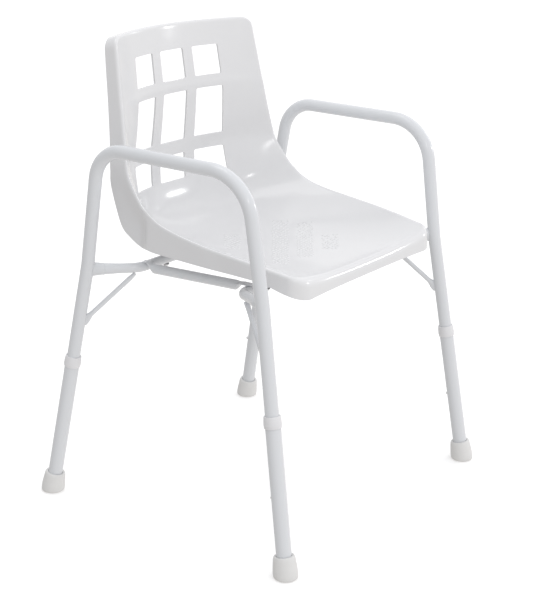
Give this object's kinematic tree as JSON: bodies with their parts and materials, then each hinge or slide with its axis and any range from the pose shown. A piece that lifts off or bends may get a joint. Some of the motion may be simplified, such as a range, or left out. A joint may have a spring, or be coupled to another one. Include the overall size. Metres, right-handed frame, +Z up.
{
  "type": "shower chair",
  "caption": "Static shower chair: moulded bucket seat with windowed back on a bent-tube frame with armrests and telescopic legs.",
  "frame": {"origin": "on the floor, under the middle of the four feet", "axes": "+Z up, -Y the way the sitter faces, +X the sitter's left"},
  "size_m": [0.7002, 0.625, 0.9092],
  "materials": {
    "seat_plastic": "glossy white moulded plastic",
    "white_paint": "grey-white powder coat",
    "collar_plastic": "satin white",
    "foot_rubber": "matt warm grey-white",
    "bright_steel": "plain stainless steel",
    "spring_steel": "blue-grey spring steel"
  },
  "bodies": {
    "frame": {"seat_shell": "seat_plastic", "side_frame_right": "white_paint", "side_frame_left": "white_paint", "front_cross_tube": "white_paint", "rear_cross_tube": "white_paint", "seat_rail_right": "white_paint", "seat_rail_left": "white_paint", "socket_front_right": "white_paint", "brace_front_right": "white_paint", "button_spring_front_right": "spring_steel", "seat_bolt_front_right": "bright_steel", "seat_washer_front_right": "bright_steel", "socket_front_left": "white_paint", "brace_front_left": "white_paint", "button_spring_front_left": "spring_steel", "seat_bolt_front_left": "bright_steel", "seat_washer_front_left": "bright_steel", "socket_rear_right": "white_paint", "brace_rear_right": "white_paint", "button_spring_rear_right": "spring_steel", "seat_bolt_rear_right": "bright_steel", "seat_washer_rear_right": "bright_steel", "socket_rear_left": "white_paint", "brace_rear_left": "white_paint", "button_spring_rear_left": "spring_steel", "seat_bolt_rear_left": "bright_steel", "seat_washer_rear_left": "bright_steel"},
    "leg_front_right": {"leg_extension_front_right": "white_paint", "collar_front_right": "collar_plastic", "foot_front_right": "foot_rubber", "foot_washer_front_right": "bright_steel"},
    "button_front_right": {"snap_button_front_right": "bright_steel"},
    "leg_front_left": {"leg_extension_front_left": "white_paint", "collar_front_left": "collar_plastic", "foot_front_left": "foot_rubber", "foot_washer_front_left": "bright_steel"},
    "button_front_left": {"snap_button_front_left": "bright_steel"},
    "leg_rear_right": {"leg_extension_rear_right": "white_paint", "collar_rear_right": "collar_plastic", "foot_rear_right": "foot_rubber", "foot_washer_rear_right": "bright_steel"},
    "button_rear_right": {"snap_button_rear_right": "bright_steel"},
    "leg_rear_left": {"leg_extension_rear_left": "white_paint", "collar_rear_left": "collar_plastic", "foot_rear_left": "foot_rubber", "foot_washer_rear_left": "bright_steel"},
    "button_rear_left": {"snap_button_rear_left": "bright_steel"}
  },
  "joints": [
    {"name": "height_front_right", "type": "slide", "parent": "frame", "child": "leg_front_right", "axis": [0.0575, 0.169, 0.9839], "range_m": [-0.1, 0.05]},
    {"name": "height_front_left", "type": "slide", "parent": "frame", "child": "leg_front_left", "axis": [-0.0575, 0.169, 0.9839], "range_m": [-0.1, 0.05]},
    {"name": "height_rear_right", "type": "slide", "parent": "frame", "child": "leg_rear_right", "axis": [0.0575, -0.169, 0.9839], "range_m": [-0.1, 0.05]},
    {"name": "height_rear_left", "type": "slide", "parent": "frame", "child": "leg_rear_left", "axis": [-0.0575, -0.169, 0.9839], "range_m": [-0.1, 0.05]},
    {"name": "press_front_right", "type": "slide", "parent": "frame", "child": "button_front_right", "axis": [0.0099, -0.9856, 0.1687], "range_m": [0, 0.0052], "stiffness_N_per_m": 1500, "springref_m": -0.002, "deforming": ["button_spring_front_right"]},
    {"name": "press_front_left", "type": "slide", "parent": "frame", "child": "button_front_left", "axis": [-0.0099, -0.9856, 0.1687], "range_m": [0, 0.0052], "stiffness_N_per_m": 1500, "springref_m": -0.002, "deforming": ["button_spring_front_left"]},
    {"name": "press_rear_right", "type": "slide", "parent": "frame", "child": "button_rear_right", "axis": [-0.3603, -0.9226, -0.1374], "range_m": [0, 0.0052], "stiffness_N_per_m": 1500, "springref_m": -0.002, "deforming": ["button_spring_rear_right"]},
    {"name": "press_rear_left", "type": "slide", "parent": "frame", "child": "button_rear_left", "axis": [0.3603, -0.9226, -0.1374], "range_m": [0, 0.0052], "stiffness_N_per_m": 1500, "springref_m": -0.002, "deforming": ["button_spring_rear_left"]}
  ]
}
